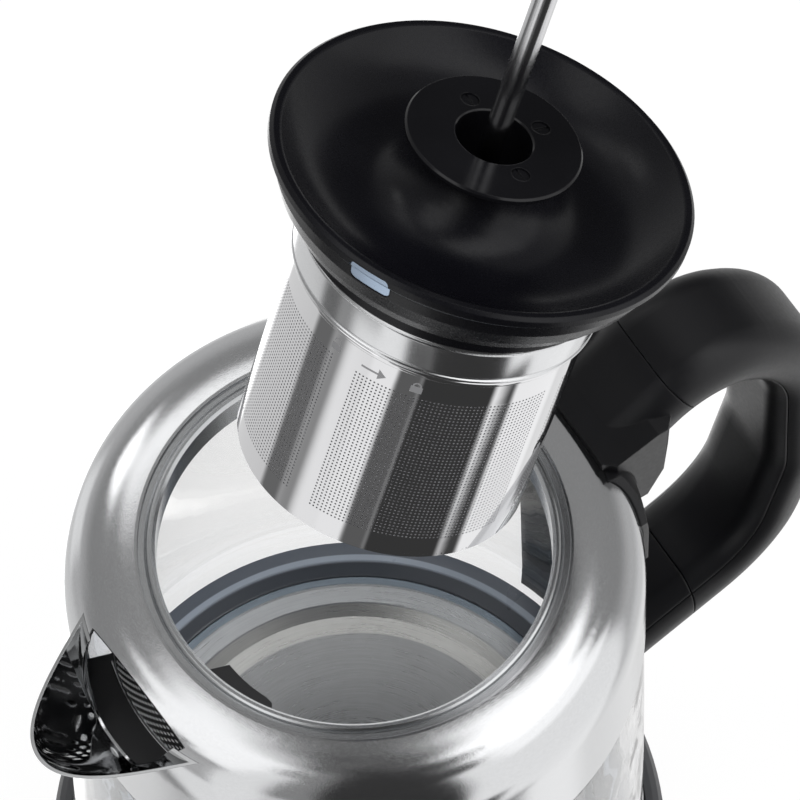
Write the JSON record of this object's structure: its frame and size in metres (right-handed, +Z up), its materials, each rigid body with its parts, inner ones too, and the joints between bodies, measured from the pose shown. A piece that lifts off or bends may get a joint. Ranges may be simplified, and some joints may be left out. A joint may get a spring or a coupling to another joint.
{
  "type": "automatic tea maker",
  "caption": "Glass jug kettle with steel shoulder and spout on a powered base, and a lid whose rod lifts a perforated steel tea basket.",
  "frame": {"origin": "on the jug's axis at the underside of the base", "axes": "+Z up along the jug's axis, +X towards the handle, the spout lies towards -X and the controls towards -Y"},
  "size_m": [0.2474, 0.219, 0.4124],
  "materials": {
    "base_plastic": "dark grey, fine satin",
    "panel_gloss": "black gloss film",
    "display_glass": "smoked window",
    "circuit_board": "solder-masked board",
    "black_plastic": "satin",
    "feet_rubber": "matte",
    "fastener_steel": "bright",
    "contact_brass": "bright",
    "jug_glass": "clear",
    "brushed_steel": "brushed round the axis",
    "rim_steel": "satin",
    "polished_steel": "polished",
    "silicone": "matte",
    "heater_steel": "spun",
    "spreader_aluminium": "cast",
    "handle_plastic": "fine satin",
    "mesh_steel": "perforated",
    "lid_satin": "satin",
    "clip_steel": "satin",
    "flange_gloss": "gloss",
    "rod_steel": "drawn tube",
    "cap_steel": "brushed",
    "basket_steel": "polished, perforated",
    "button_gloss": "gloss"
  },
  "bodies": {
    "base": {"base_shell": "base_plastic", "control_panel": "panel_gloss", "display_window": "display_glass", "control_board": "circuit_board", "base_underside": "black_plastic", "base_feet": "feet_rubber", "base_screws": "fastener_steel", "base_connector": "black_plastic", "contact_pin": "contact_brass", "cord_gland": "feet_rubber"},
    "jug": {"glass_body": "jug_glass", "steel_shoulder": "brushed_steel", "mouth_ring": "rim_steel", "spout_beak": "polished_steel", "shoulder_seal": "silicone", "heater_plate": "heater_steel", "glass_seal": "silicone", "heat_spreader": "spreader_aluminium", "heater_element": "heater_steel", "thermostat": "black_plastic", "temperature_sensor": "fastener_steel", "jug_foot": "brushed_steel", "jug_underside": "black_plastic", "jug_connector": "black_plastic", "handle_grip": "handle_plastic", "grip_strip": "handle_plastic", "handle_plate": "black_plastic", "bracket_pad": "handle_plastic", "upper_bracket": "handle_plastic", "upper_strip": "handle_plastic", "lower_bracket": "handle_plastic", "lower_strip": "handle_plastic"},
    "spout_filter": {"filter_frame": "black_plastic", "filter_mesh": "mesh_steel"},
    "detent": {"detent_ball": "fastener_steel"},
    "lid": {"lid_dish": "lid_satin", "lid_skirt": "lid_satin", "lid_clips": "clip_steel", "lid_seal": "silicone", "lid_flange": "flange_gloss", "flange_screws": "flange_gloss", "rod_bush": "black_plastic", "detent_plunger": "fastener_steel"},
    "lift_rod": {"lift_rod": "rod_steel", "lift_knob": "lid_satin", "knob_cap": "flange_gloss", "basket_cap": "cap_steel", "cap_nut": "fastener_steel"},
    "basket": {"basket_wall": "basket_steel", "basket_base": "basket_steel"},
    "power_button": {"button_power": "button_gloss"},
    "down_button": {"button_down": "button_gloss"},
    "up_button": {"button_up": "button_gloss"},
    "warm_button": {"button_warm": "button_gloss"}
  },
  "joints": [
    {"name": "jug_lift", "type": "slide", "parent": "base", "child": "jug", "axis": [0, 0, 1], "range_m": [0, 0.06]},
    {"name": "filter_pull", "type": "slide", "parent": "jug", "child": "spout_filter", "axis": [0.9981, 0.061, 0], "range_m": [0, 0.006]},
    {"name": "lid_lift", "type": "slide", "parent": "jug", "child": "detent", "axis": [0.3237, 0.0976, 0.9411], "range_m": [-0.13252, 0]},
    {"name": "lid_tilt", "type": "hinge", "parent": "detent", "child": "lid", "pos_m": [0.04139, 0.01777, 0.32391], "axis": [-0.2974, 0.9548, 0], "range_deg": [-23.21, 0]},
    {"name": "basket_lift", "type": "slide", "parent": "lid", "child": "lift_rod", "axis": [0.3761, 0.1171, 0.9191], "range_m": [-0.052, 0]},
    {"name": "basket_twist", "type": "hinge", "parent": "lift_rod", "child": "basket", "pos_m": [0.0476, 0.0144, 0.3354], "axis": [0.3761, 0.1171, 0.9191], "range_deg": [0, 32]},
    {"name": "power_press", "type": "slide", "parent": "base", "child": "power_button", "axis": [0, 0.206, -0.9785], "range_m": [0, 0.0012], "stiffness_N_per_m": 350, "springref_m": -0.0004},
    {"name": "down_press", "type": "slide", "parent": "base", "child": "down_button", "axis": [0, 0.206, -0.9785], "range_m": [0, 0.0012], "stiffness_N_per_m": 350, "springref_m": -0.0004},
    {"name": "up_press", "type": "slide", "parent": "base", "child": "up_button", "axis": [0, 0.206, -0.9785], "range_m": [0, 0.0012], "stiffness_N_per_m": 350, "springref_m": -0.0004},
    {"name": "warm_press", "type": "slide", "parent": "base", "child": "warm_button", "axis": [0, 0.206, -0.9785], "range_m": [0, 0.0012], "stiffness_N_per_m": 350, "springref_m": -0.0004}
  ],
  "couplings": [
    {"joint": "lid_tilt", "follows": "lid_lift", "rad_per_m": 3.0556}
  ]
}
